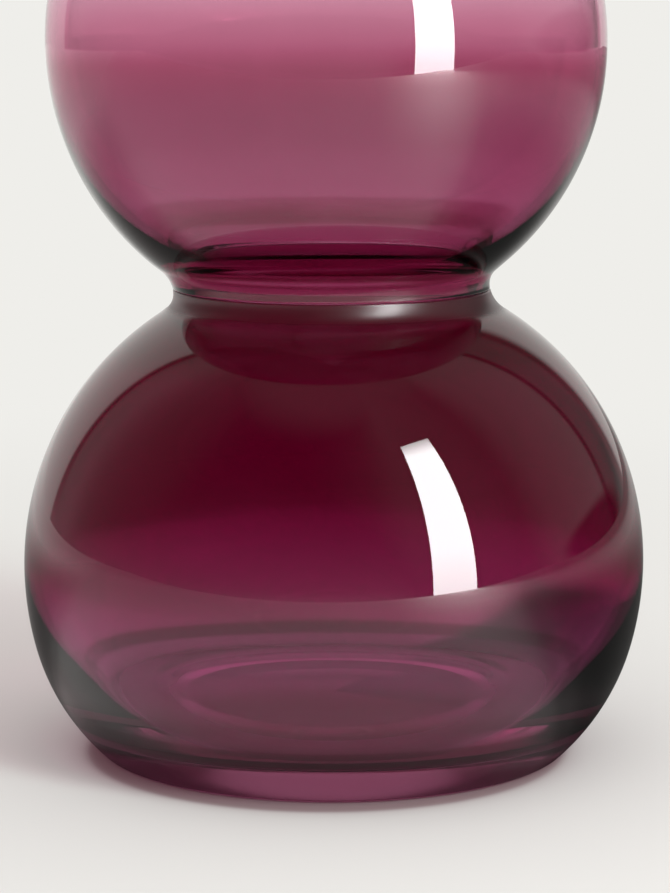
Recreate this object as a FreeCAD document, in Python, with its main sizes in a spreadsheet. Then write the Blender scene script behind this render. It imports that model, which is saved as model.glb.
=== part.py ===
import FreeCAD, Part
import math
import os

import Sketcher

# A vase in the form of a double gourd: two bulbs of blown glass, one above the other,
# each blown by itself and joined hot, rim to rim, at the waist between them.
# Millimetres, +Z up, origin at the centre of the foot on the table.
# Both bulbs are turned about Z. Each wall is one closed section of arcs and short lines,
# drawn to the right of the axis: x is the radius, y the height.

SIZES = {
    # The lower bulb: a ball round its widest ring, a flatter shoulder and a rounder flank below.
    "lower_radius": 75.0,
    "lower_widest_height": 45.4,
    "flank_drop": 19.4,
    "flank_radius": 54.0,
    "lower_wall": 3.6,
    # The foot: a flat ring that rests, round a shallow hollow.
    "heel_radius": 3.0,
    "foot_ring_width": 12.4,
    "punt_depth": 3.0,
    # The inside of the heavy bottom: a bowl, a round corner and a flat floor.
    "bowl_radius": 48.6,
    "corner_radius": 7.8,
    "floor_height": 10.4,
    # The waist, where the rims of the two bulbs meet.
    "waist_rise": 66.3,
    "waist_radius": 38.1,
    "waist_hollow_radius": 6.1,
    "waist_wall": 5.0,
    # The upper bulb: a little smaller and a little thinner.
    "upper_radius": 66.45,
    "upper_widest_rise": 58.2,
    "upper_wall": 2.4,
    # The neck and its flared, fire-polished lip.
    "neck_rise": 64.9,
    "neck_bore_radius": 28.0,
    "neck_wall": 2.6,
    "neck_hollow_radius": 7.0,
    "lip_flare_degrees": 60.0,
}

# A sketch's own names for its origin, its two axes and the points of an edge.
ORIGIN = (-1, 1)
ACROSS_AXIS = -1
TURNING_AXIS = -2
START, END, CENTRE = range(1, 4)


def point(x, y):
    return FreeCAD.Vector(x, y, 0)


def flowing_radius(widest, height, hollow_centre, hollow_height, hollow_radius):
    """Radius of the arc that stands upright at the widest ring and flows into a hollow.

    The two circles touch from outside, so the distance between their centres is the sum
    of their radii. The arc's own centre is level with the widest ring.
    """
    across = hollow_centre - widest
    rise = hollow_height - height
    return (across**2 + rise**2 - hollow_radius**2) / (2 * (hollow_radius - across))


def touching_point(centre, radius, other_centre):
    """Point of a circle that faces another circle's centre."""
    return centre + (other_centre - centre).normalize() * radius


class Section:
    """A closed outline in a sketch, drawn edge by edge, each edge starting where the last ended."""

    def __init__(self, body, sheet, name):
        self.sheet = sheet
        self.sketch = body.newObject("Sketcher::SketchObject", name)
        planes = body.Origin.OriginFeatures
        upright = [plane for plane in planes if plane.Role == "XZ_Plane"][0]
        self.sketch.AttachmentSupport = [(upright, "")]
        self.sketch.MapMode = "FlatFace"
        self.edges = []

    def line(self, start, end):
        edge = self.sketch.addGeometry(Part.LineSegment(start, end), False)
        self.edges.append((edge, START, END))
        return edge

    def arc(self, centre, start, end, turns_left):
        """Arc about a centre from start to end; a sketch keeps every arc turning left."""
        first, last = (start, end) if turns_left else (end, start)
        circle = Part.Circle(centre, FreeCAD.Vector(0, 0, 1), (start - centre).Length)
        arc = Part.ArcOfCircle(circle, circle.parameter(first), circle.parameter(last))
        edge = self.sketch.addGeometry(arc, False)
        self.edges.append((edge, START, END) if turns_left else (edge, END, START))
        return edge

    def first(self, edge):
        return (edge, self.edges[edge][1])

    def last(self, edge):
        return (edge, self.edges[edge][2])

    def tie(self, kind, *where):
        return self.sketch.addConstraint(Sketcher.Constraint(kind, *where))

    def join(self, smooth):
        """Join each edge to the next, and the last to the first; the smooth joins are tangent."""
        for edge in range(len(self.edges)):
            following = (edge + 1) % len(self.edges)
            kind = "Tangent" if (edge, following) in smooth else "Coincident"
            self.tie(kind, *self.last(edge), *self.first(following))

    def level(self, *points):
        """Put the points at one height."""
        for other in points[1:]:
            self.tie("Horizontal", *points[0], *other)

    def bind(self, kind, name, expression, *where):
        """Give a distance, radius or angle the value that an expression of the sizes has."""
        value = evaluate(self.sheet, expression)
        if kind == "Angle":
            value = math.radians(value)
        index = self.tie(kind, *where, value)
        self.sketch.renameConstraint(index, name)
        self.sketch.setExpression("Constraints." + name, in_sheet(expression))

    def place(self, name, spot, radius=None, height=None):
        """Hold a point at a radius and a height, each given as an expression of the sizes."""
        if radius:
            self.bind("DistanceX", name + "_radius", radius, *ORIGIN, *spot)
        if height:
            self.bind("DistanceY", name + "_height", height, *ORIGIN, *spot)


def in_sheet(expression):
    """The expression with each size written as a cell of the sheet."""
    words = expression.split(" ")
    return " ".join("Sizes." + word if word in SIZES else word for word in words)


def evaluate(sheet, expression):
    """Value of a sum or difference of sizes, for the sketch's first drawing."""
    words = expression.split(" ")
    total = getattr(sheet, words[0])
    for sign, word in zip(words[1::2], words[2::2]):
        total += getattr(sheet, word) if sign == "+" else -getattr(sheet, word)
    return total


def make_sheet(doc):
    sheet = doc.addObject("Spreadsheet::Sheet", "Sizes")
    for row, (name, value) in enumerate(SIZES.items(), start=1):
        sheet.set("A%d" % row, name)
        sheet.set("B%d" % row, str(value))
        sheet.setAlias("B%d" % row, name)
    doc.recompute()
    return sheet


def turn(body, section):
    """Turn a section once round the vase's axis."""
    solid = body.newObject("PartDesign::Revolution", section.sketch.Name + "Turned")
    solid.Profile = section.sketch
    solid.ReferenceAxis = (section.sketch, ["V_Axis"])
    section.sketch.Visibility = False
    body.Tip = solid


def make_lower_bulb(doc, sheet):
    """Lower bulb: foot ring, ball, shoulder and rim, with the heavy floor inside."""
    body = doc.addObject("PartDesign::Body", "LowerBulb")
    body.Label = "lower_bulb"
    section = Section(body, sheet, "LowerWall")

    widest = sheet.lower_radius
    widest_height = sheet.lower_widest_height
    rim_height = widest_height + sheet.waist_rise
    inner_widest = widest - sheet.lower_wall
    inner_hollow = sheet.waist_hollow_radius + sheet.waist_wall
    hollow_centre = point(sheet.waist_radius + sheet.waist_hollow_radius, rim_height)

    shoulder = flowing_radius(widest, widest_height, hollow_centre.x, rim_height, sheet.waist_hollow_radius)
    shoulder_centre = point(widest - shoulder, widest_height)
    inner_shoulder = flowing_radius(inner_widest, widest_height, hollow_centre.x, rim_height, inner_hollow)
    inner_shoulder_centre = point(inner_widest - inner_shoulder, widest_height)

    ball_centre = point(0, widest_height)
    flank_across = math.sqrt(widest**2 - sheet.flank_drop**2)
    flank_top = point(flank_across, widest_height - sheet.flank_drop)
    flank_centre = touching_point(ball_centre, widest - sheet.flank_radius, flank_top)
    heel_gap = sheet.flank_radius - sheet.heel_radius
    heel_across = math.sqrt(heel_gap**2 - (flank_centre.y - sheet.heel_radius)**2)
    foot_radius = flank_centre.x + heel_across
    heel_centre = point(foot_radius, sheet.heel_radius)
    ring_inside = foot_radius - sheet.foot_ring_width
    punt_bend = (ring_inside**2 + sheet.punt_depth**2) / (2 * sheet.punt_depth)

    bowl_centre = point(inner_widest - sheet.bowl_radius, widest_height)
    corner_height = sheet.floor_height + sheet.corner_radius
    corner_gap = sheet.bowl_radius - sheet.corner_radius
    corner_across = math.sqrt(corner_gap**2 - (widest_height - corner_height)**2)
    corner_centre = point(bowl_centre.x + corner_across, corner_height)
    corner_start = touching_point(bowl_centre, sheet.bowl_radius, corner_centre)
    floor_edge = point(corner_centre.x, sheet.floor_height)
    floor_middle = point(0, sheet.floor_height)

    punt_top = point(0, sheet.punt_depth)
    ring_start = point(ring_inside, 0)
    ring_end = point(foot_radius, 0)
    heel_end = touching_point(flank_centre, sheet.flank_radius, heel_centre)
    ball_end = point(widest, widest_height)
    shoulder_end = touching_point(shoulder_centre, shoulder, hollow_centre)
    rim_outside = point(sheet.waist_radius, rim_height)
    rim_inside = point(sheet.waist_radius - sheet.waist_wall, rim_height)
    inner_shoulder_start = touching_point(inner_shoulder_centre, inner_shoulder, hollow_centre)
    inner_side = point(inner_widest, widest_height)

    punt = section.arc(point(0, sheet.punt_depth - punt_bend), punt_top, ring_start, False)
    ring = section.line(ring_start, ring_end)
    heel = section.arc(heel_centre, ring_end, heel_end, True)
    flank = section.arc(flank_centre, heel_end, flank_top, True)
    ball = section.arc(ball_centre, flank_top, ball_end, True)
    outer_shoulder = section.arc(shoulder_centre, ball_end, shoulder_end, True)
    outer_waist = section.arc(hollow_centre, shoulder_end, rim_outside, False)
    rim = section.line(rim_outside, rim_inside)
    inner_waist = section.arc(hollow_centre, rim_inside, inner_shoulder_start, True)
    inside = section.arc(inner_shoulder_centre, inner_shoulder_start, inner_side, False)
    inner_bowl = section.arc(bowl_centre, inner_side, corner_start, False)
    corner = section.arc(corner_centre, corner_start, floor_edge, False)
    floor = section.line(floor_edge, floor_middle)
    section.line(floor_middle, punt_top)
    smooth_joins = {(ring, heel), (heel, flank), (flank, ball), (outer_shoulder, outer_waist)}
    smooth_joins |= {(inner_waist, inside), (inner_bowl, corner), (corner, floor)}
    section.join(smooth_joins)

    # The foot: the hollow under it, its resting ring and its rounded heel.
    section.tie("PointOnObject", *section.first(punt), TURNING_AXIS)
    section.tie("PointOnObject", punt, CENTRE, TURNING_AXIS)
    section.place("punt", section.first(punt), height="punt_depth")
    section.tie("PointOnObject", *section.first(ring), ACROSS_AXIS)
    section.tie("PointOnObject", *section.last(ring), ACROSS_AXIS)
    section.bind("DistanceX", "ring_width", "foot_ring_width", *section.first(ring), *section.last(ring))
    section.bind("Radius", "heel", "heel_radius", heel)
    # The outside: the flank, the ball up to its widest ring, the shoulder and the waist's hollow.
    section.bind("Radius", "flank", "flank_radius", flank)
    section.place("flank_top", section.last(flank), height="lower_widest_height - flank_drop")
    section.tie("PointOnObject", ball, CENTRE, TURNING_AXIS)
    section.place("widest", section.last(ball), "lower_radius", "lower_widest_height")
    section.level(section.last(ball), (ball, CENTRE), (outer_shoulder, CENTRE), section.last(inside))
    section.bind("Radius", "waist_hollow", "waist_hollow_radius", outer_waist)
    section.place("rim", section.first(rim), "waist_radius", "lower_widest_height + waist_rise")
    section.level(section.first(rim), (outer_waist, CENTRE), section.last(rim))
    section.bind("DistanceX", "rim_width", "waist_wall", *section.last(rim), *section.first(rim))
    # The inside: the hollow's other face, the side, the bowl that thickens to the flat floor.
    section.tie("Coincident", inner_waist, CENTRE, outer_waist, CENTRE)
    section.place("inner_widest", section.last(inside), "lower_radius - lower_wall")
    section.level(section.last(inside), (inside, CENTRE), (inner_bowl, CENTRE))
    section.bind("Radius", "bowl", "bowl_radius", inner_bowl)
    section.bind("Radius", "corner", "corner_radius", corner)
    section.level(section.last(floor), section.first(floor))
    section.tie("PointOnObject", *section.last(floor), TURNING_AXIS)
    section.place("floor", section.last(floor), height="floor_height")

    turn(body, section)
    return body


def make_upper_bulb(doc, sheet):
    """Upper bulb: rim on the waist, the ball, the neck and the lip; its own origin is at the rim."""
    body = doc.addObject("PartDesign::Body", "UpperBulb")
    body.Label = "upper_bulb"
    body.setExpression("Placement.Base.z", in_sheet("lower_widest_height + waist_rise"))
    section = Section(body, sheet, "UpperWall")

    widest = sheet.upper_radius
    widest_height = sheet.upper_widest_rise
    inner_widest = widest - sheet.upper_wall
    inner_hollow = sheet.waist_hollow_radius + sheet.waist_wall
    hollow_centre = point(sheet.waist_radius + sheet.waist_hollow_radius, 0)
    neck_hollow = sheet.neck_hollow_radius
    neck_inner_hollow = neck_hollow + sheet.neck_wall
    neck_centre = point(sheet.neck_bore_radius + neck_inner_hollow, widest_height + sheet.neck_rise)

    def side(across, centre, hollow):
        """Radius and centre of the arc from the widest ring into a hollow."""
        radius = flowing_radius(across, widest_height, centre.x, centre.y, hollow)
        return radius, point(across - radius, widest_height)

    belly, belly_centre = side(widest, hollow_centre, sheet.waist_hollow_radius)
    inner_belly, inner_belly_centre = side(inner_widest, hollow_centre, inner_hollow)
    dome, dome_centre = side(widest, neck_centre, neck_hollow)
    inner_dome, inner_dome_centre = side(inner_widest, neck_centre, neck_inner_hollow)

    flare = math.radians(sheet.lip_flare_degrees)
    lip_way = point(-math.cos(flare), math.sin(flare))
    lip_outside = neck_centre + lip_way * neck_hollow
    lip_inside = neck_centre + lip_way * neck_inner_hollow
    lip_centre = (lip_outside + lip_inside) / 2

    rim_outside = point(sheet.waist_radius, 0)
    rim_inside = point(sheet.waist_radius - sheet.waist_wall, 0)
    belly_start = touching_point(belly_centre, belly, hollow_centre)
    belly_end = point(widest, widest_height)
    dome_end = touching_point(dome_centre, dome, neck_centre)
    inner_dome_start = touching_point(inner_dome_centre, inner_dome, neck_centre)
    inner_side = point(inner_widest, widest_height)
    inner_belly_end = touching_point(inner_belly_centre, inner_belly, hollow_centre)

    outer_waist = section.arc(hollow_centre, rim_outside, belly_start, False)
    outer_belly = section.arc(belly_centre, belly_start, belly_end, True)
    outer_dome = section.arc(dome_centre, belly_end, dome_end, True)
    outer_neck = section.arc(neck_centre, dome_end, lip_outside, False)
    lip = section.arc(lip_centre, lip_outside, lip_inside, True)
    inner_neck = section.arc(neck_centre, lip_inside, inner_dome_start, True)
    under_dome = section.arc(inner_dome_centre, inner_dome_start, inner_side, False)
    inside = section.arc(inner_belly_centre, inner_side, inner_belly_end, False)
    inner_waist = section.arc(hollow_centre, inner_belly_end, rim_inside, True)
    rim = section.line(rim_inside, rim_outside)
    smooth_joins = {(outer_waist, outer_belly), (outer_dome, outer_neck), (outer_neck, lip)}
    smooth_joins |= {(lip, inner_neck), (inner_neck, under_dome), (inside, inner_waist)}
    section.join(smooth_joins)

    # The rim, which meets the lower bulb's rim, and the waist's hollow above it.
    section.place("rim", section.last(rim), radius="waist_radius")
    section.tie("PointOnObject", *section.last(rim), ACROSS_AXIS)
    section.level(section.last(rim), section.first(rim), (outer_waist, CENTRE))
    section.bind("DistanceX", "rim_width", "waist_wall", *section.first(rim), *section.last(rim))
    section.bind("Radius", "waist_hollow", "waist_hollow_radius", outer_waist)
    section.tie("Coincident", inner_waist, CENTRE, outer_waist, CENTRE)
    # The ball, outside and inside.
    section.place("widest", section.last(outer_belly), "upper_radius", "upper_widest_rise")
    section.level(section.last(outer_belly), (outer_belly, CENTRE), (outer_dome, CENTRE))
    section.place("inner_widest", section.first(inside), "upper_radius - upper_wall")
    section.level(section.last(outer_belly), section.first(inside))
    section.level(section.first(inside), (under_dome, CENTRE), (inside, CENTRE))
    # The neck and the lip, flared by an angle about the neck's own centre.
    section.place("neck", (outer_neck, CENTRE), "neck_bore_radius + neck_wall + neck_hollow_radius",
                  "upper_widest_rise + neck_rise")
    section.bind("Radius", "neck_hollow", "neck_hollow_radius", outer_neck)
    section.tie("Coincident", inner_neck, CENTRE, outer_neck, CENTRE)
    section.bind("Radius", "neck_inner_hollow", "neck_hollow_radius + neck_wall", inner_neck)
    flare_line = section.sketch.addGeometry(Part.LineSegment(lip_centre, neck_centre), True)
    section.tie("Coincident", flare_line, START, lip, CENTRE)
    section.tie("Coincident", flare_line, END, outer_neck, CENTRE)
    level_line = section.sketch.addGeometry(Part.LineSegment(rim_outside, hollow_centre), True)
    section.tie("Coincident", level_line, START, *section.last(rim))
    section.tie("Coincident", level_line, END, outer_waist, CENTRE)
    section.bind("Angle", "flare", "lip_flare_degrees", flare_line, END, level_line, END)

    turn(body, section)
    return body


def check(doc, bodies):
    """Stop if any object failed or any piece isn't one sound solid."""
    for thing in doc.Objects:
        if "Invalid" in thing.State or "Error" in thing.State:
            raise RuntimeError("%s failed: %s" % (thing.Label, thing.State))
    for body in bodies:
        if body.Shape.isNull() or not body.Shape.isValid() or len(body.Shape.Solids) != 1:
            raise RuntimeError("%s isn't one sound solid" % body.Label)


def main():
    doc = FreeCAD.newDocument("DoubleGourdVase")
    sheet = make_sheet(doc)
    bodies = [make_lower_bulb(doc, sheet), make_upper_bulb(doc, sheet)]
    doc.recompute()
    check(doc, bodies)
    os.makedirs("parts", exist_ok=True)
    for body in bodies:
        body.Shape.exportStep("parts/%s.step" % body.Label)
        box = body.Shape.optimalBoundingBox()
        print("%s: radius %.2f, from %.2f to %.2f, volume %.0f"
              % (body.Label, box.XMax, box.ZMin, box.ZMax, body.Shape.Volume))


main()
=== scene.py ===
"""Looks of the double gourd vase: two blown bulbs of clear glass under a thin wine-red skin.

Lengths are metres. The vase stands on the floor at Z = 0 with its axis on Z, and the picture is taken
from the -Y side. Each bulb is a wall profile of arcs and lines, carried round the axis. The skin's colour
changes with height, with a line of painted shade at the heel. The plain room around has lighter and darker
sides, and the floor carries a painted contact shadow and painted shade and glow that the glass shows.
"""

import math

import bpy
import numpy as np
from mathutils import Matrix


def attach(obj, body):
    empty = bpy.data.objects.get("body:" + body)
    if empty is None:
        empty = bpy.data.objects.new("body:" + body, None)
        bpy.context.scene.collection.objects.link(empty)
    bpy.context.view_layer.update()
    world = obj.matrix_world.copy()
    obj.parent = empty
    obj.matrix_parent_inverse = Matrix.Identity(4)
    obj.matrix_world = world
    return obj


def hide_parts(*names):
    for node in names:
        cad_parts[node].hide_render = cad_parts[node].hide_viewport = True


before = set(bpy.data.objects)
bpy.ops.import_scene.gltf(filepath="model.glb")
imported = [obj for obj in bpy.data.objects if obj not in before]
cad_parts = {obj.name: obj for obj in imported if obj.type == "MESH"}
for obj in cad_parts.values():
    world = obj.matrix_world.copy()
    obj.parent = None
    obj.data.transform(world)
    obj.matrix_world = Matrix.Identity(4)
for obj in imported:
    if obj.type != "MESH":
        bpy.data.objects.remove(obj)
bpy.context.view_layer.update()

MM = 0.001

# Profile of the lower bulb, as the solids have it.
LOWER_RADIUS = 75.0 * MM
LOWER_WIDEST = 45.4 * MM
LOWER_WALL = 3.6 * MM
FLANK_DROP = 19.4 * MM
FLANK_RADIUS = 54.0 * MM
HEEL_RADIUS = 3.0 * MM
RING_INSIDE = 43.0 * MM
PUNT_DEPTH = 3.0 * MM
BOWL_RADIUS = 48.6 * MM
CORNER_RADIUS = 7.8 * MM
FLOOR_HEIGHT = 10.4 * MM
# The floor inside swells a little over the punt.
FLOOR_SWELL = 1.4 * MM
SWELL_EDGE = (40 * MM, 47 * MM)
# The waist.
SEAM = 111.7 * MM
WAIST_RADIUS = 38.1 * MM
WAIST_HOLLOW = 6.1 * MM
WAIST_WALL = 5.0 * MM
SEAM_GAP = 0.03 * MM
RIM_EASE = 0.5 * MM
# Profile of the upper bulb, its neck and lip.
UPPER_RADIUS = 66.45 * MM
UPPER_WIDEST = 169.9 * MM
UPPER_WALL = 2.4 * MM
NECK = 234.8 * MM
NECK_BORE = 28.0 * MM
NECK_WALL = 2.6 * MM
NECK_HOLLOW = 7.0 * MM
LIP_FLARE = math.radians(60)
# The blown glass leans: how far the parts stand aside of the axis, and how gently one passes to the next.
SHOULDER_ASIDE = 0.5 * MM
BELLY_ASIDE = -1.6 * MM
NECK_ASIDE = -2.0 * MM
BELLY_LEAN_REACH = 50 * MM
SEAM_LEAN_REACH = 7 * MM

# The picture: where the camera stands, how far it looks down, and its focal length in pixels of the picture.
CAMERA_BACK = 0.7
CAMERA_HEIGHT = 0.1824
CAMERA_ASIDE = 0.0003
CAMERA_PITCH = 0.1549
CAMERA_NEAR = 0.05
FOCAL_PIXELS = 2925.4
PICTURE_HEIGHT = 893
SENSOR = 36

# Fineness of the meshes: points round each ring and along each profile, and where bends get more of them.
AROUND = 240
ALONG = 380
ARC_POINTS = 200
LINE_POINTS = 40
FLOOR_POINTS = 400
EASE_POINTS = 24
STRAIGHT_STEP = 1.6 * MM
BEND_STEP = math.radians(2.5)
SAME_HEIGHT = 0.01 * MM
SAME_PLACE = 1e-6 * MM
# A surface that faces up more than this is the floor inside; under this height all of the glass is outside.
FACES_UP = 0.9
UNDER_FLOOR = 1 * MM

# Sockets of the Mix node when it mixes colours.
COLOUR_A, COLOUR_B = 6, 7
MIXED_COLOUR = 2


def arc(centre, radius, start, end, count=ARC_POINTS):
    """Points of an arc: centre + radius * (cos, sin) of an angle that goes evenly from start to end."""
    angle = np.linspace(start, end, count)
    return np.stack([centre[0] + radius * np.cos(angle), centre[1] + radius * np.sin(angle)], axis=1)


def straight(start, end, count=LINE_POINTS):
    """Points of a straight line, evenly spaced."""
    share = np.linspace(0, 1, count)[:, None]
    return np.array(start) * (1 - share) + np.array(end) * share


def way(centre, target):
    """Angle of the direction from a centre to a point."""
    return math.atan2(target[1] - centre[1], target[0] - centre[0])


def flowing(widest, height, hollow, hollow_radius):
    """Radius and centre of the arc upright at the widest ring that touches a hollow's circle from outside.

    With a and b the steps across and up to the hollow's centre and h its radius, the radius is
    (a * a + b * b - h * h) / (2 * (h - a)).
    """
    across = hollow[0] - widest
    rise = hollow[1] - height
    radius = (across**2 + rise**2 - hollow_radius**2) / (2 * (hollow_radius - across))
    return radius, (widest - radius, height)


def ease(line, corner, reach):
    """The line with the point nearest a corner replaced by a parabola that starts and ends a reach away."""
    away = np.linalg.norm(line - np.array(corner), axis=1)
    order = np.arange(len(line))
    middle = int(np.argmin(away))
    before = line[(order < middle) & (away > reach)]
    after = line[(order > middle) & (away > reach)]
    share = np.linspace(0, 1, EASE_POINTS)[:, None]
    bend = before[-1] * (1 - share)**2 + 2 * line[middle] * share * (1 - share) + after[0] * share**2
    return np.concatenate([before[:-1], bend, after[1:]])


def chain(*stretches):
    """The stretches end to end."""
    return np.concatenate([stretches[0]] + [stretch[1:] for stretch in stretches[1:]])


def respace(line, count):
    """The line with its points spread by length and bend: bends get more points than straight runs."""
    length = np.linalg.norm(np.diff(line, axis=0), axis=1)
    line = np.concatenate([line[:1], line[1:][length > SAME_PLACE]])
    step = np.diff(line, axis=0)
    length = np.linalg.norm(step, axis=1)
    heading = np.unwrap(np.arctan2(step[:, 1], step[:, 0]))
    cost = length / STRAIGHT_STEP + np.abs(np.gradient(heading)) / BEND_STEP
    spent = np.concatenate([[0], np.cumsum(cost)])
    wanted = np.linspace(0, spent[-1], count)
    return np.stack([np.interp(wanted, spent, line[:, 0]), np.interp(wanted, spent, line[:, 1])], axis=1)


def lower_profile():
    """Wall of the lower bulb as (radius, height), from the middle of the punt round to the floor's middle.

    Outside: the punt's arc, the flat foot ring, the heel, the flank, the ball, the shoulder and the waist's
    hollow. Inside, back down: the waist, the shoulder, the bowl, the corner and the floor. Each arc touches
    the next, and the floor is lifted by FLOOR_SWELL in the middle with a cubic ease at its edge.
    """
    hollow = (WAIST_RADIUS + WAIST_HOLLOW, SEAM)
    inner_hollow = WAIST_HOLLOW + WAIST_WALL
    inner_widest = LOWER_RADIUS - LOWER_WALL
    drop = math.asin(FLANK_DROP / LOWER_RADIUS)
    off = LOWER_RADIUS - FLANK_RADIUS
    flank = (off * math.cos(drop), LOWER_WIDEST - off * math.sin(drop))
    foot = flank[0] + math.sqrt((FLANK_RADIUS - HEEL_RADIUS)**2 - (flank[1] - HEEL_RADIUS)**2)
    punt = (RING_INSIDE**2 + PUNT_DEPTH**2) / (2 * PUNT_DEPTH)
    punt_middle = (0, PUNT_DEPTH - punt)
    bowl_middle = (inner_widest - BOWL_RADIUS, LOWER_WIDEST)
    corner_height = FLOOR_HEIGHT + CORNER_RADIUS
    corner_across = math.sqrt((BOWL_RADIUS - CORNER_RADIUS)**2 - (LOWER_WIDEST - corner_height)**2)
    corner = (bowl_middle[0] + corner_across, corner_height)
    ball = (0, LOWER_WIDEST)
    heel = (foot, HEEL_RADIUS)
    shoulder, shoulder_middle = flowing(LOWER_RADIUS, LOWER_WIDEST, hollow, WAIST_HOLLOW)
    inner_shoulder, inner_middle = flowing(inner_widest, LOWER_WIDEST, hollow, inner_hollow)
    rim = SEAM - SEAM_GAP / 2
    rim_inside = (WAIST_RADIUS - WAIST_WALL, rim)
    line = chain(
        arc(punt_middle, punt, math.pi / 2, way(punt_middle, (RING_INSIDE, 0))),
        straight((RING_INSIDE, 0), (foot, 0)),
        arc(heel, HEEL_RADIUS, -math.pi / 2, way(flank, heel)),
        arc(flank, FLANK_RADIUS, way(flank, heel), -drop),
        arc(ball, LOWER_RADIUS, -drop, 0),
        arc(shoulder_middle, shoulder, 0, way(shoulder_middle, hollow)),
        arc(hollow, WAIST_HOLLOW, way(shoulder_middle, hollow) + math.pi, math.pi),
        straight((WAIST_RADIUS, rim), rim_inside),
        arc(hollow, inner_hollow, math.pi, way(inner_middle, hollow) + math.pi),
        arc(inner_middle, inner_shoulder, way(inner_middle, hollow), 0),
        arc(bowl_middle, BOWL_RADIUS, 0, way(bowl_middle, corner)),
        arc(corner, CORNER_RADIUS, way(bowl_middle, corner), -math.pi / 2),
        straight((corner[0], FLOOR_HEIGHT), (0, FLOOR_HEIGHT), FLOOR_POINTS),
    )
    floor = (np.abs(line[:, 1] - FLOOR_HEIGHT) < SAME_HEIGHT) & (line[:, 0] < corner[0])
    line[floor, 1] += FLOOR_SWELL * (1 - smooth(line[floor, 0], *SWELL_EDGE))
    line[:, 1] = np.minimum(line[:, 1], rim)
    for sharp in ((RING_INSIDE, 0), (WAIST_RADIUS, rim), rim_inside):
        line = ease(line, sharp, RIM_EASE)
    return respace(line, ALONG)


def upper_profile():
    """Wall of the upper bulb as (radius, height), once round from the rim's middle, over the lip and back.

    Outside: the waist's hollow, the belly, the dome and the neck's hollow, then the lip's half circle.
    Inside, back down: the same arcs one wall thickness in. Each arc touches the next.
    """
    hollow = (WAIST_RADIUS + WAIST_HOLLOW, SEAM)
    inner_hollow = WAIST_HOLLOW + WAIST_WALL
    inner_neck = NECK_HOLLOW + NECK_WALL
    inner_widest = UPPER_RADIUS - UPPER_WALL
    neck = (NECK_BORE + inner_neck, NECK)
    belly, belly_middle = flowing(UPPER_RADIUS, UPPER_WIDEST, hollow, WAIST_HOLLOW)
    inner_belly, inner_belly_middle = flowing(inner_widest, UPPER_WIDEST, hollow, inner_hollow)
    dome, dome_middle = flowing(UPPER_RADIUS, UPPER_WIDEST, neck, NECK_HOLLOW)
    inner_dome, inner_dome_middle = flowing(inner_widest, UPPER_WIDEST, neck, inner_neck)
    flare = math.pi - LIP_FLARE
    lip_reach = NECK_HOLLOW + NECK_WALL / 2
    lip = (neck[0] + lip_reach * math.cos(flare), neck[1] + lip_reach * math.sin(flare))
    rim = SEAM + SEAM_GAP / 2
    rim_middle = (WAIST_RADIUS - WAIST_WALL / 2, rim)
    rim_outside = (WAIST_RADIUS, rim)
    rim_inside = (WAIST_RADIUS - WAIST_WALL, rim)
    line = chain(
        straight(rim_middle, rim_outside),
        arc(hollow, WAIST_HOLLOW, math.pi, way(belly_middle, hollow) + math.pi),
        arc(belly_middle, belly, way(belly_middle, hollow), 0),
        arc(dome_middle, dome, 0, way(dome_middle, neck)),
        arc(neck, NECK_HOLLOW, way(dome_middle, neck) + math.pi, flare),
        arc(lip, NECK_WALL / 2, flare - math.pi, flare),
        arc(neck, inner_neck, flare, way(inner_dome_middle, neck) + math.pi),
        arc(inner_dome_middle, inner_dome, way(inner_dome_middle, neck), 0),
        arc(inner_belly_middle, inner_belly, 0, way(inner_belly_middle, hollow)),
        arc(hollow, inner_hollow, way(inner_belly_middle, hollow) + math.pi, math.pi),
        straight(rim_inside, rim_middle),
    )
    line[:, 1] = np.maximum(line[:, 1], rim)
    for sharp in (rim_outside, rim_inside):
        line = ease(line, sharp, RIM_EASE)
    return respace(line, ALONG)


def smooth(value, low, high):
    """0 below low, 1 above high and a cubic ease between them."""
    share = np.clip((value - low) / (high - low), 0, 1)
    return share * share * (3 - 2 * share)


def lean(height):
    """How far the glass stands aside of Z: the lower bulb leans a little right, the upper one sits left."""
    lower = SHOULDER_ASIDE * np.clip((height - LOWER_WIDEST) / (SEAM - LOWER_WIDEST), -0.5, 1)
    upper = BELLY_ASIDE + (NECK_ASIDE - BELLY_ASIDE) * smooth(height, UPPER_WIDEST - BELLY_LEAN_REACH, NECK)
    across = smooth(height, SEAM - SEAM_LEAN_REACH, SEAM + SEAM_LEAN_REACH)
    return lower * (1 - across) + upper * across


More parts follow.
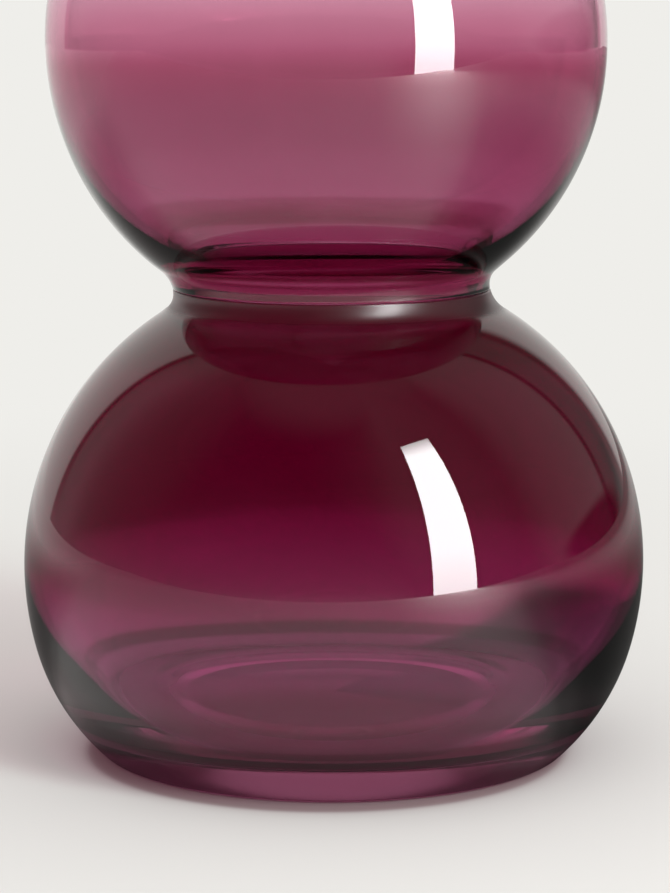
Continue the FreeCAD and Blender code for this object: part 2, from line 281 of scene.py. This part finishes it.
def turned(name, profile, closed):
    """A profile carried round Z: (radius, height) at angle a lies at (radius cos a, radius sin a, height).

    An open profile starts and ends on the axis, and a single point closes each pole. A closed one is a ring
    of wall all the way round. Every point then moves aside by lean(height).
    """
    angle = np.linspace(0, 2 * math.pi, AROUND, endpoint=False)
    ring = profile[:-1] if closed else profile[1:-1]
    radius, height = ring[:, :1], ring[:, 1:]
    x = radius * np.cos(angle) + lean(height)
    y = radius * np.sin(angle)
    z = height + 0 * angle
    points = np.stack([x, y, z], axis=2).reshape(-1, 3)
    rows = len(ring)
    first = np.arange(rows if closed else rows - 1)[:, None] * AROUND
    second = (first + AROUND) % (rows * AROUND)
    here = np.arange(AROUND)
    there = (here + 1) % AROUND
    quads = np.stack([first + here, first + there, second + there, second + here], axis=2).reshape(-1, 4)
    faces = quads.tolist()
    if not closed:
        poles = [[lean(profile[0, 1]), 0, profile[0, 1]], [lean(profile[-1, 1]), 0, profile[-1, 1]]]
        points = np.concatenate([points, poles])
        bottom = rows * AROUND
        last = (rows - 1) * AROUND
        faces += np.stack([there, here, np.full(AROUND, bottom)], axis=1).tolist()
        faces += np.stack([last + here, last + there, np.full(AROUND, bottom + 1)], axis=1).tolist()
    mesh = bpy.data.meshes.new(name)
    mesh.from_pydata(points.tolist(), [], faces)
    mesh.shade_smooth()
    piece = bpy.data.objects.new(name, mesh)
    bpy.context.scene.collection.objects.link(piece)
    return piece


def mark_skin(piece):
    """Attribute "skin": 1 where the wine-red layer lies, on the outside and underneath, and 0 inside.

    A point is inside if its surface faces the axis, or if it is the floor and faces up. All of the foot,
    under the floor, is outside.
    """
    count = len(piece.data.vertices)
    spot = np.empty(count * 3)
    piece.data.vertices.foreach_get("co", spot)
    x, y, z = spot.reshape(-1, 3).T
    normal = np.empty(count * 3)
    piece.data.vertices.foreach_get("normal", normal)
    facing = normal.reshape(-1, 3)
    x = x - lean(z)
    outward = (facing[:, 0] * x + facing[:, 1] * y) / np.maximum(np.hypot(x, y), 1e-6)
    on_floor = facing[:, 2] > FACES_UP
    under_foot = z < FLOOR_HEIGHT - UNDER_FLOOR
    skin = np.where(under_foot | (outward > 0) & ~on_floor, 1.0, 0.0)
    layer = piece.data.attributes.new("skin", "FLOAT", "POINT")
    layer.data.foreach_set("value", skin.astype(np.float32))


class Graph:
    """The nodes of one tree, each made with its inputs already set or joined."""

    def __init__(self, tree):
        self.tree = tree

    def add(self, kind, inputs=None, **settings):
        node = self.tree.nodes.new(kind)
        for name, value in settings.items():
            setattr(node, name, value)
        for name, value in (inputs or {}).items():
            self.put(node.inputs[name], value)
        return node

    def put(self, socket, value):
        if isinstance(value, bpy.types.NodeSocket):
            self.tree.links.new(value, socket)
        else:
            socket.default_value = value

    def maths(self, operation, *values, clamp=False):
        node = self.add("ShaderNodeMath", operation=operation, use_clamp=clamp)
        for socket, value in zip(node.inputs, values):
            self.put(socket, value)
        return node.outputs[0]

    def between(self, value, low, high, start=0.0, end=1.0, kind="SMOOTHSTEP"):
        """Start where the value is at or under low, end at or over high, with a smooth change between."""
        inputs = {"Value": value, "From Min": low, "From Max": high, "To Min": start, "To Max": end}
        return self.add("ShaderNodeMapRange", inputs, interpolation_type=kind).outputs["Result"]

    def follow(self, value, stops, soft):
        """Level that a value has on a line through stops, given as (value, level) from left to right."""
        low, high = stops[0][0], stops[-1][0]
        top = max(level for _, level in stops)
        share = self.between(value, low, high, kind="LINEAR")
        curve = self.add("ShaderNodeFloatCurve", {"Value": share})
        spots = curve.mapping.curves[0].points
        while len(spots) < len(stops):
            spots.new(0.5, 0.5)
        for spot, (place, level) in zip(spots, stops):
            spot.location = ((place - low) / (high - low), level / top)
            spot.handle_type = "AUTO_CLAMPED" if soft else "VECTOR"
        curve.mapping.update()
        return self.maths("MULTIPLY", curve.outputs["Value"], top)

    def blend(self, share, first, second):
        inputs = {"Factor": share, COLOUR_A: first, COLOUR_B: second}
        return self.add("ShaderNodeMix", inputs, data_type="RGBA").outputs[MIXED_COLOUR]

    def lerp(self, share, first, second):
        """First where the share is 0, second where it is 1."""
        return self.add("ShaderNodeMix", {"Factor": share, "A": first, "B": second}).outputs[0]

    def mixed(self, share, first, second):
        node = self.add("ShaderNodeMixShader", {"Fac": share, 1: first, 2: second})
        return node.outputs[0]

    def place(self, axis):
        spot = self.add("ShaderNodeTexCoord").outputs["Object"]
        return self.add("ShaderNodeSeparateXYZ", {0: spot}).outputs[axis]

    def ray(self, name):
        return self.add("ShaderNodeLightPath").outputs[name]

    def bounced(self):
        """1 for a ray that a surface mirrors, 0 for one that also passed through glass."""
        return self.maths("SUBTRACT", self.ray("Is Glossy Ray"), self.ray("Is Transmission Ray"), clamp=True)

    def degrees(self, angle):
        return self.maths("MULTIPLY", angle, 180 / math.pi)


def new_material(name):
    material = bpy.data.materials.new(name)
    material.use_nodes = True
    material.node_tree.nodes.clear()
    return material, Graph(material.node_tree)


# The wine-red skin: the share of red, green and blue light that one unit of it lets through.
WINE = (math.exp(-0.95), math.exp(-3.1), math.exp(-1.72), 1)
MAUVE = (math.exp(-1.08), math.exp(-2.84), math.exp(-1.92), 1)
PINK = (math.exp(-0.9), math.exp(-3.3), math.exp(-2.25), 1)
FOOT_MAUVE = (math.exp(-1.15), math.exp(-1.9), math.exp(-1.5), 1)
# Heights between which the lower glass goes from the foot's mauve to wine, and the upper from mauve to pink.
LOWER_HUE_CHANGE = (10 * MM, 18 * MM)
UPPER_HUE_CHANGE = (150 * MM, 180 * MM)
GLASS_BEND = 1.52
# Roughness of the ground foot ring, the fire-softened heel and the ring of the hot seam, and where each ends.
GROUND_FOOT = 0.5
GROUND_FOOT_END = (0.1 * MM, 0.9 * MM)
SOFT_HEEL = 0.12
SOFT_HEEL_END = (7 * MM, 10 * MM)
SOFT_SEAM = 0.32
SOFT_SEAM_MIDDLE = SEAM - 2.2 * MM
SOFT_SEAM_END = (1.5 * MM, 4.5 * MM)
# Colour in the depth of the lower glass, which shows in its thick bottom.
DEPTH_COLOUR = (0.67, 0.0, 0.33, 1)
DEPTH_DENSITY = 8
# How blown glass varies in colour: the size and detail of its clouds and how far they go.
CLOUD_SCALE = 28
CLOUD_DETAIL = 2
CLOUDS = (0.93, 1.07)
# Skin strength up the vase, as (height, strength): a dark line of painted shade at the heel, the densest at
# the waist.
LOWER_STRENGTH = [
    (0, 0.85), (0.0085, 0.95), (0.0105, 2.3), (0.0125, 2.4), (0.0145, 1.1), (0.018, 0.75), (0.03, 0.95),
    (0.038, 1.25), (0.044, 1.7), (0.05, 2.35), (0.06, 2.45), (0.075, 2.55), (0.093, 2.5), (0.1, 2.95),
    (0.109, 2.95), (0.112, 2.4),
]
UPPER_STRENGTH = [
    (0.111, 1.45), (0.1162, 1.45), (0.1174, 2.2), (0.1205, 1.8), (0.1235, 1.5), (0.1255, 0.95), (0.132, 0.95),
    (0.142, 1.12), (0.152, 1.15), (0.162, 1.05), (0.169, 0.64), (0.176, 0.45), (0.183, 0.32), (0.25, 0.25),
]


def skin_group():
    """Node group: the skin's colour raised to its strength, where there is skin, a little uneven as blown."""
    group = bpy.data.node_groups.new("skin_tint", "ShaderNodeTree")
    inputs = (("Low Colour", "Color"), ("High Colour", "Color"), ("Hue From", "Float"), ("Hue To", "Float"))
    for name, kind in inputs + (("Strength", "Float"),):
        group.interface.new_socket(name, in_out="INPUT", socket_type="NodeSocket" + kind)
    for name in ("Tint", "Half Tint"):
        group.interface.new_socket(name, in_out="OUTPUT", socket_type="NodeSocketColor")
    graph = Graph(group)
    given = graph.add("NodeGroupInput").outputs
    result = graph.add("NodeGroupOutput").inputs
    change = graph.between(graph.place("Z"), given["Hue From"], given["Hue To"])
    colour = graph.blend(change, given["Low Colour"], given["High Colour"])
    spot = graph.add("ShaderNodeTexCoord").outputs["Object"]
    noise = graph.add("ShaderNodeTexNoise", {"Vector": spot, "Scale": CLOUD_SCALE, "Detail": CLOUD_DETAIL})
    uneven = graph.between(noise.outputs["Fac"], 0, 1, *CLOUDS, kind="LINEAR")
    skin = graph.add("ShaderNodeAttribute", attribute_name="skin").outputs["Fac"]
    strength = graph.maths("MULTIPLY", graph.maths("MULTIPLY", given["Strength"], uneven), skin)
    channels = graph.add("ShaderNodeSeparateColor", {0: colour}).outputs
    for name, share in (("Tint", 1), ("Half Tint", 0.5)):
        power = graph.maths("MULTIPLY", strength, share)
        raised = {index: graph.maths("POWER", channels[index], power) for index in range(3)}
        graph.put(result[name], graph.add("ShaderNodeCombineColor", raised).outputs[0])
    return group


def softness(graph):
    """Roughness of the lower glass by height: the most of the foot ring's, the heel's and the seam's."""
    height = graph.place("Z")
    foot = graph.between(height, *GROUND_FOOT_END, GROUND_FOOT, 0)
    heel = graph.between(height, *SOFT_HEEL_END, SOFT_HEEL, 0)
    from_seam = graph.maths("ABSOLUTE", graph.maths("SUBTRACT", height, SOFT_SEAM_MIDDLE))
    seam = graph.between(from_seam, *SOFT_SEAM_END, SOFT_SEAM, 0)
    return graph.maths("MAXIMUM", graph.maths("MAXIMUM", foot, heel), seam)


def glass(name, group, colours, hue_change, strengths, is_lower):
    """Clear glass with the wine-red skin; light that reaches the floor through it takes the skin's colour.

    The lower bulb's glass is also rough where it was ground or softened, and has a colour in its depth.
    """
    material, graph = new_material(name)
    strength = graph.follow(graph.place("Z"), strengths, soft=True)
    inputs = {"Low Colour": colours[0], "High Colour": colours[1], "Strength": strength}
    inputs.update({"Hue From": hue_change[0], "Hue To": hue_change[1]})
    tint = graph.tree.nodes.new("ShaderNodeGroup")
    tint.node_tree = group
    for socket, value in inputs.items():
        graph.put(tint.inputs[socket], value)
    body = graph.add("ShaderNodeBsdfPrincipled", {"Base Color": tint.outputs["Tint"]})
    body.inputs["Transmission Weight"].default_value = 1
    graph.put(body.inputs["Roughness"], softness(graph) if is_lower else 0)
    body.inputs["IOR"].default_value = GLASS_BEND
    clear = graph.add("ShaderNodeBsdfTransparent", {"Color": tint.outputs["Half Tint"]})
    surface = graph.mixed(graph.ray("Is Shadow Ray"), body.outputs[0], clear.outputs[0])
    output = graph.add("ShaderNodeOutputMaterial", {"Surface": surface})
    if is_lower:
        depth = graph.add("ShaderNodeVolumeAbsorption", {"Color": DEPTH_COLOUR, "Density": DEPTH_DENSITY})
        graph.put(output.inputs["Volume"], depth.outputs[0])
    return material


def build_vase():
    """The two bulbs, each in its own glass."""
    skin = skin_group()
    burgundy = glass("burgundy_glass", skin, (FOOT_MAUVE, WINE), LOWER_HUE_CHANGE, LOWER_STRENGTH, True)
    wine = glass("wine_glass", skin, (MAUVE, PINK), UPPER_HUE_CHANGE, UPPER_STRENGTH, False)
    lower = turned("lower_glass_bulb", lower_profile(), closed=False)
    upper = turned("upper_glass_bulb", upper_profile(), closed=True)
    lower.data.materials.append(burgundy)
    upper.data.materials.append(wine)
    for piece, node, slot in ((lower, "lower_bulb", "lower_glass"), (upper, "upper_bulb", "upper_glass")):
        mark_skin(piece)
        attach(piece, "root")
        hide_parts(node)


# The stage. Levels and colours are linear. Bearings are degrees round the vase, 0 in front and positive to
# the right.
BACKDROP = (0.863, 0.855, 0.823, 1)
FLOOR_COLOUR = (0.63, 0.625, 0.61, 1)
# The table ends just behind the camera; its far edge and its sides lie out of sight.
FLOOR_FRONT = -0.79
FLOOR_REACH = 8
FLOOR_SIDE = 4
# The floor lies a hair under the foot ring, so that the two surfaces don't coincide.
FLOOR_TOP = -0.05 * MM
# Painted shadow on the floor, by distance from the contact's middle: dark where the heel nearly touches it.
CONTACT_SHADOW_COLOUR = (0.16, 0.06, 0.08, 1)
CONTACT_MIDDLE = (-2 * MM, -6 * MM, 0)
FLOOR_SHADE_LEVELS = [
    (0, 0.9), (0.038, 0.85), (0.042, 0.5), (0.050, 0.3), (0.055, 0.27), (0.058, 0.6), (0.061, 0.93),
    (0.066, 1), (0.09, 1),
]
# Painted shade on the floor near the vase as seen through the glass: by bearing, darkest at right, up to a
# distance.
SEEN_SHADE_LEVELS = [(-180, 1), (40, 1), (65, 0.4), (120, 0.2), (153, 0.2), (161, 1), (180, 1)]
SEEN_REACH = (0.14, 0.19)
# Painted reflection of the floor, seen only in the glass: how bright it is by bearing, near the vase, in the
# middle and far off, with the distances over which one passes into the next, and painted shade under the
# heel.
MIRRORED_LEVELS = [
    (-180, 1.3), (-168, 1.0), (-155, 0.45), (-145, 0.35), (-120, 0.25), (-102, 0.5), (-80, 1.1), (42, 1.15),
    (68, 0.35), (95, 0.1), (135, 0.1), (155, 0.3), (168, 0.6), (180, 1.3),
]
MIDDLE_REACH = (0.2, 0.7)
MIDDLE_MIRRORED_LEVELS = [(-180, 1), (60, 1), (90, 0.6), (160, 0.6), (180, 1)]
FAR_REACH = (0.9, 1.6)
FAR_MIRRORED_LEVELS = [
    (-180, 1.3), (-150, 1.1), (-90, 0.85), (42, 0.85), (75, 0.6), (105, 0.3), (150, 0.25), (168, 0.9),
    (180, 1.3),
]
# Painted shade in the mirrored floor where the heel nearly touches it: its level and where it ends.
HEEL_SHADE_LEVEL = 0.28
HEEL_SHADE_END = (0.06, 0.088)
# Painted glow of the strip on the floor, seen only mirrored: its bearing, half width, strength and where it
# sets in.
SHEEN_BEARING = 44
SHEEN_WIDTH = 26
SHEEN = 1.8
SHEEN_REACH = (0.1, 0.55)
# Where the floor fades into the backdrop's white: behind the vase, and for the camera on every side.
FADE_REACH = (0.1, 0.6)
FADE_BEHIND = (0.0, 0.2)
FADE_ROUND = (0.25, 0.7)


def build_stage():
    """Large flat floor, matt and pale, that fades into the plain backdrop away from the vase.

    The vase's shadow falls on it, and a contact shadow round the foot is painted on. In and through the glass
    it shows painted shade, reflection and glow, by the levels given above.
    """
    mesh = bpy.data.meshes.new("pale_floor")
    corners = [(-FLOOR_SIDE, FLOOR_FRONT, FLOOR_TOP), (FLOOR_SIDE, FLOOR_FRONT, FLOOR_TOP)]
    corners += [(FLOOR_SIDE, FLOOR_REACH, FLOOR_TOP), (-FLOOR_SIDE, FLOOR_REACH, FLOOR_TOP)]
    mesh.from_pydata(corners, [], [(0, 1, 2, 3)])
    floor = bpy.data.objects.new("pale_floor", mesh)
    bpy.context.scene.collection.objects.link(floor)
    material, graph = new_material("pale_floor")
    spot = graph.add("ShaderNodeTexCoord").outputs["Object"]
    distance = graph.add("ShaderNodeVectorMath", {0: spot}, operation="LENGTH").outputs["Value"]
    from_contact = graph.add("ShaderNodeVectorMath", {0: spot, 1: CONTACT_MIDDLE}, operation="DISTANCE")
    # Painted contact shadow round the foot, and a little darker under the vase.
    painted_floor_shade = graph.follow(from_contact.outputs["Value"], FLOOR_SHADE_LEVELS, soft=True)
    colour = graph.blend(painted_floor_shade, CONTACT_SHADOW_COLOUR, FLOOR_COLOUR)
    across, along = graph.place("X"), graph.place("Y")
    bearing = graph.degrees(graph.maths("ARCTAN2", across, graph.maths("MULTIPLY", along, -1)))
    # Painted for the glass's mirror: light and shade by bearing, the strip's glow and the shade under the
    # heel.
    near = graph.follow(bearing, MIRRORED_LEVELS, soft=True)
    middle = graph.follow(bearing, MIDDLE_MIRRORED_LEVELS, soft=True)
    far = graph.follow(bearing, FAR_MIRRORED_LEVELS, soft=True)
    level = graph.lerp(graph.between(distance, *MIDDLE_REACH), near, middle)
    level = graph.lerp(graph.between(distance, *FAR_REACH), level, far)
    aside = graph.maths("ABSOLUTE", graph.maths("SUBTRACT", bearing, SHEEN_BEARING))
    sheen = graph.between(aside, 0, SHEEN_WIDTH, SHEEN, 0)
    sheen = graph.maths("MULTIPLY", graph.between(distance, *SHEEN_REACH), sheen)
    heel_shade = graph.between(distance, *HEEL_SHADE_END, HEEL_SHADE_LEVEL, 1)
    level = graph.maths("MULTIPLY", graph.maths("ADD", level, sheen), heel_shade)
    mirrored = graph.lerp(graph.bounced(), 1.0, level)
    # As it shows through the glass, with painted shade.
    level = graph.follow(bearing, SEEN_SHADE_LEVELS, soft=True)
    level = graph.maths("MAXIMUM", level, graph.between(distance, *SEEN_REACH))
    seen = graph.lerp(graph.ray("Is Transmission Ray"), 1.0, level)
    dimming = graph.maths("MULTIPLY", mirrored, seen)
    shown = graph.add("ShaderNodeVectorMath", {0: colour, "Scale": dimming}, operation="SCALE").outputs[0]
    matt = graph.add("ShaderNodeBsdfDiffuse", {"Color": shown}).outputs[0]
    white = graph.add("ShaderNodeEmission", {"Color": BACKDROP, "Strength": dimming}).outputs[0]
    round_about = graph.maths("MULTIPLY", graph.ray("Is Camera Ray"), graph.between(distance, *FADE_ROUND))
    fade = graph.maths("MAXIMUM", graph.between(along, *FADE_BEHIND, kind="LINEAR"), round_about)
    fade = graph.maths("MULTIPLY", graph.between(distance, *FADE_REACH), fade)
    graph.add("ShaderNodeOutputMaterial", {"Surface": graph.mixed(fade, matt, white)})
    mesh.materials.append(material)


# How light the room is by bearing in degrees, here with 0 behind the vase and positive to the right.
ROOM_LEVELS = [
    (-180, 0.03), (-165, 0.0), (-135, 0.0), (-120, 0.03), (-105, 0.09), (-90, 0.13), (-75, 0.2), (-62, 0.33),
    (-52.5, 0.28), (-51, 0.04), (-49.5, 0.04), (-48, 0.8), (-45, 0.86), (30, 0.86), (33, 0.3), (34, 0.06),
    (36, 0.06), (38, 0.16), (51, 0.2), (52, 0.06), (54, 0.06), (55, 0.34), (75, 0.35), (90, 0.3), (100, 0.18),
    (105, 0.12), (120, 0.17), (150, 0.22), (165, 0.08), (180, 0.03),
]
ROOM_COLOUR = (1, 0.99, 0.955, 1)
# The ceiling: the degrees of rise over which it sets in, and its level.
CEILING_RISE = (52, 72)
CEILING = 0.2
# Past the table's edge the room that the glass mirrors is light, and darker higher up, by degrees of rise
# and by bearing.
LOW_GLOW = [(-90, 0.85), (-14, 0.85), (-5, 0.65), (0, 0.32), (11, 0.15), (26, 0.05), (50, 0), (90, 0)]
GLOW_SIDES = [(-180, 1), (-110, 0.9), (0, 1), (30, 1), (55, 0.5), (140, 0.5), (165, 1), (180, 1)]
# A dark thing low at the right, just over the table's edge: its middle, half sizes, soft edge and level.
DARK_BEARING, DARK_WIDTH = 66, 22
DARK_RISE, DARK_HEIGHT = 1, 6
DARK_EDGE = (0.7, 1.15)
DARK_LEVEL = 0.12
# The soft even light.
SOFT_COLOUR = (1, 0.99, 0.97, 1)
SOFT_LEVEL = 1.02


def build_world():
    """White backdrop for the camera, a soft even light, and the room that shows in and through the glass."""
    world = bpy.data.worlds.new("studio")
    bpy.context.scene.world = world
    world.use_nodes = True
    world.node_tree.nodes.clear()
    graph = Graph(world.node_tree)
    toward = graph.add("ShaderNodeTexCoord").outputs["Generated"]
    x, y, z = graph.add("ShaderNodeSeparateXYZ", {0: toward}).outputs
    bearing = graph.degrees(graph.maths("ARCTAN2", x, y))
    rise = graph.degrees(graph.maths("ARCSINE", z))
    level = graph.follow(bearing, ROOM_LEVELS, soft=False)
    level = graph.maths("MAXIMUM", level, graph.between(rise, *CEILING_RISE, 0, CEILING))
    glow = graph.maths("MULTIPLY", graph.follow(rise, LOW_GLOW, soft=True), graph.bounced())
    glow = graph.maths("MULTIPLY", glow, graph.follow(bearing, GLOW_SIDES, soft=True))
    level = graph.maths("MAXIMUM", level, glow)
    aside = graph.maths("DIVIDE", graph.maths("SUBTRACT", bearing, DARK_BEARING), DARK_WIDTH)
    above = graph.maths("DIVIDE", graph.maths("SUBTRACT", rise, DARK_RISE), DARK_HEIGHT)
    away = graph.maths("ADD", graph.maths("MULTIPLY", aside, aside), graph.maths("MULTIPLY", above, above))
    dark = graph.between(graph.maths("SQRT", away), *DARK_EDGE, DARK_LEVEL, 1)
    level = graph.maths("MULTIPLY", level, dark)
    room = graph.add("ShaderNodeBackground", {"Color": ROOM_COLOUR, "Strength": level}).outputs[0]
    white = graph.add("ShaderNodeBackground", {"Color": BACKDROP}).outputs[0]
    soft = graph.add("ShaderNodeBackground", {"Color": SOFT_COLOUR, "Strength": SOFT_LEVEL}).outputs[0]
    sharp = graph.maths("MAXIMUM", graph.ray("Is Glossy Ray"), graph.ray("Is Transmission Ray"))
    around = graph.mixed(sharp, soft, room)
    final = graph.mixed(graph.ray("Is Camera Ray"), around, white)
    graph.add("ShaderNodeOutputWorld", {"Surface": final})


# The strip box: its size, middle and turn, and what it gives as a lamp and shows as a card.
STRIP_WIDTH = 0.327
STRIP_HEIGHT = 1.5
STRIP_PLACE = (0.777, -0.848, 0.70)
STRIP_TURN = math.radians(43)
STRIP_POWER = 22
STRIP_GLOW = 23
# The card dims over these heights to these levels, and is far dimmer in what comes through the glass.
STRIP_TOP, STRIP_TOP_LEVEL = (1.24, 1.44), 0.38
STRIP_FOOT, STRIP_FOOT_LEVEL = (0.0, 0.3), 0.8
STRIP_BEHIND_GLASS = 0.004
ONE_BOUNCE = 1.5


def build_lights():
    """Tall strip box at the right front, as a lamp and as the card that the glass mirrors."""
    data = bpy.data.lights.new("strip_lamp", "AREA")
    data.shape = "RECTANGLE"
    data.size = STRIP_WIDTH
    data.size_y = STRIP_HEIGHT
    data.energy = STRIP_POWER
    lamp = bpy.data.objects.new("strip_lamp", data)
    lamp.location = STRIP_PLACE
    lamp.rotation_euler = (math.radians(90), 0, STRIP_TURN)
    lamp.visible_glossy = False
    lamp.visible_transmission = False
    bpy.context.scene.collection.objects.link(lamp)
    across = np.array((math.cos(STRIP_TURN), math.sin(STRIP_TURN), 0)) * STRIP_WIDTH / 2
    up = np.array((0, 0, STRIP_HEIGHT / 2))
    middle = np.array(STRIP_PLACE)
    corners = [middle - across - up, middle + across - up, middle + across + up, middle - across + up]
    mesh = bpy.data.meshes.new("strip_card")
    mesh.from_pydata([tuple(corner) for corner in corners], [], [(0, 1, 2, 3)])
    card = bpy.data.objects.new("strip_card", mesh)
    bpy.context.scene.collection.objects.link(card)
    material, graph = new_material("strip_card")
    height = graph.place("Z")
    top = graph.between(height, *STRIP_TOP, 1, STRIP_TOP_LEVEL, kind="LINEAR")
    foot = graph.between(height, *STRIP_FOOT, STRIP_FOOT_LEVEL, 1, kind="LINEAR")
    shape = graph.maths("MULTIPLY", top, foot)
    # A ray that reaches the card after more than one bounce has been inside the glass.
    through = graph.maths("GREATER_THAN", graph.ray("Ray Depth"), ONE_BOUNCE)
    seen = graph.between(through, 0, 1, 1, STRIP_BEHIND_GLASS, kind="LINEAR")
    power = graph.maths("MULTIPLY", graph.maths("MULTIPLY", shape, seen), STRIP_GLOW)
    glow = graph.add("ShaderNodeEmission", {"Strength": power}).outputs[0]
    graph.add("ShaderNodeOutputMaterial", {"Surface": glow})
    mesh.materials.append(material)
    card.visible_camera = False
    card.visible_diffuse = False
    card.visible_shadow = False


def build_camera():
    """Camera at the picture's place, pitch and focal length."""
    data = bpy.data.cameras.new("camera")
    data.sensor_width = SENSOR
    data.lens = SENSOR * FOCAL_PIXELS / PICTURE_HEIGHT
    data.clip_start = CAMERA_NEAR
    camera = bpy.data.objects.new("camera", data)
    camera.location = (CAMERA_ASIDE, -CAMERA_BACK, CAMERA_HEIGHT)
    camera.rotation_euler = (math.pi / 2 - CAMERA_PITCH, 0, 0)
    bpy.context.scene.collection.objects.link(camera)
    bpy.context.scene.camera = camera


build_vase()
build_stage()
build_world()
build_lights()
build_camera()
bpy.context.scene.view_settings.view_transform = "Standard"
